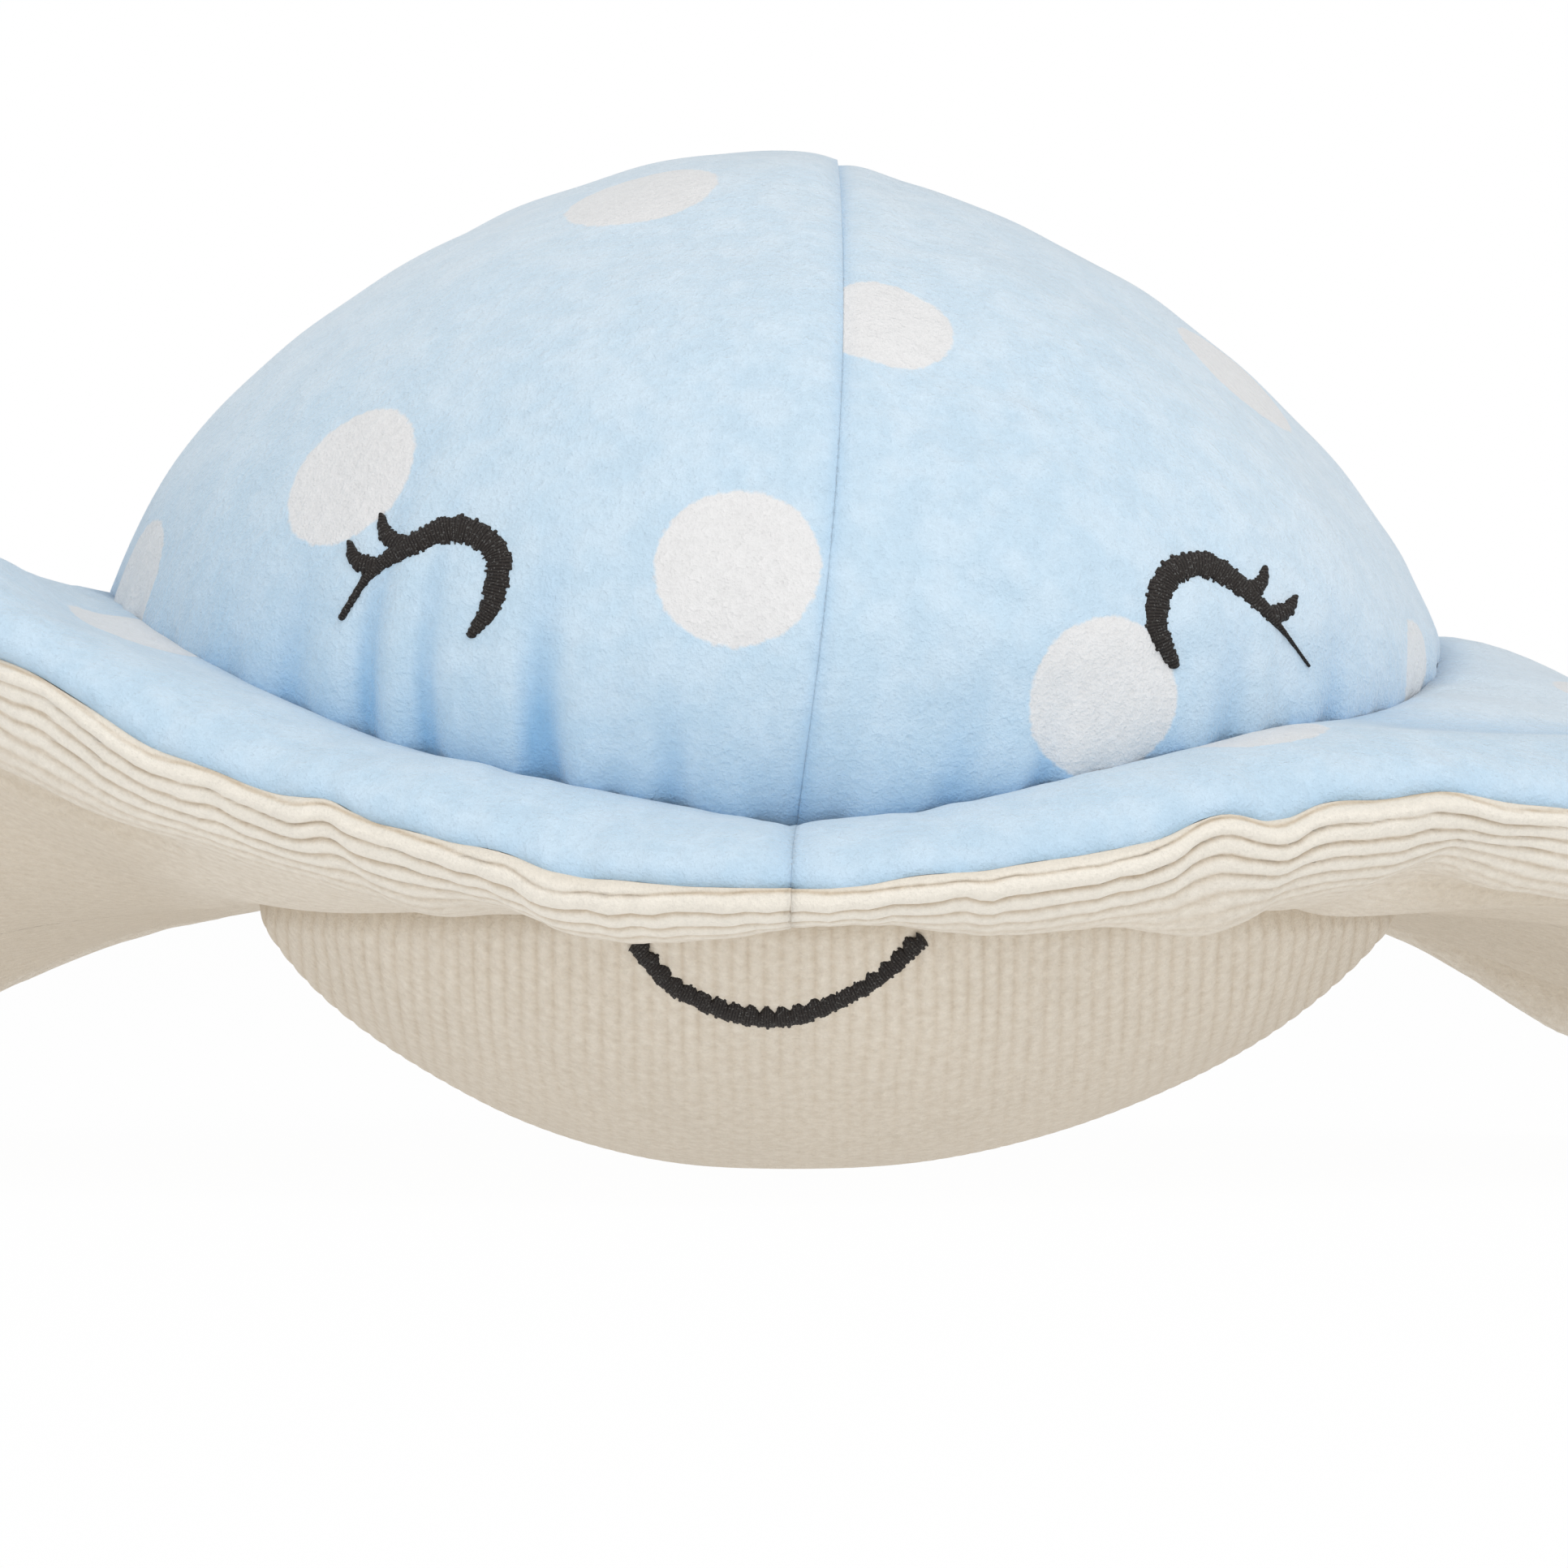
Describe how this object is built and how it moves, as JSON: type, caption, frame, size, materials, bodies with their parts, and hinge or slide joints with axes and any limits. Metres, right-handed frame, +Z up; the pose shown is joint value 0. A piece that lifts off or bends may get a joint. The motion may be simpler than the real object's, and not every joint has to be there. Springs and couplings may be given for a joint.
{
  "type": "plush manta ray",
  "caption": "Soft stuffed manta ray with a domed plush crown, padded wings that droop to the floor, a ribbed belly, a tail and an embroidered sleepy face.",
  "frame": {"origin": "middle of the flat spot under the belly, where the toy rests", "axes": "+X to the right as one faces the toy, -Y the way the face looks, +Z up"},
  "size_m": [0.409, 0.345, 0.1555],
  "materials": {
    "blue_plush": "short-pile polyester plush, pale blue with white polka dots, soft sheen",
    "cream_corduroy": "cream wide-rib corduroy plush, matt",
    "black_thread": "black satin-stitch embroidery thread, slight gloss",
    "white_fibre": "white polyester fibre stuffing"
  },
  "bodies": {
    "root": {"crown_left": "blue_plush", "crown_right": "blue_plush", "wing_top_left": "blue_plush", "wing_top_right": "blue_plush", "tail": "blue_plush", "wing_under_left": "cream_corduroy", "wing_under_right": "cream_corduroy", "belly": "cream_corduroy", "eye_left": "black_thread", "eye_right": "black_thread", "mouth": "black_thread", "body_filling": "white_fibre", "wing_filling_left": "white_fibre", "wing_filling_right": "white_fibre", "tail_filling": "white_fibre"}
  },
  "joints": []
}
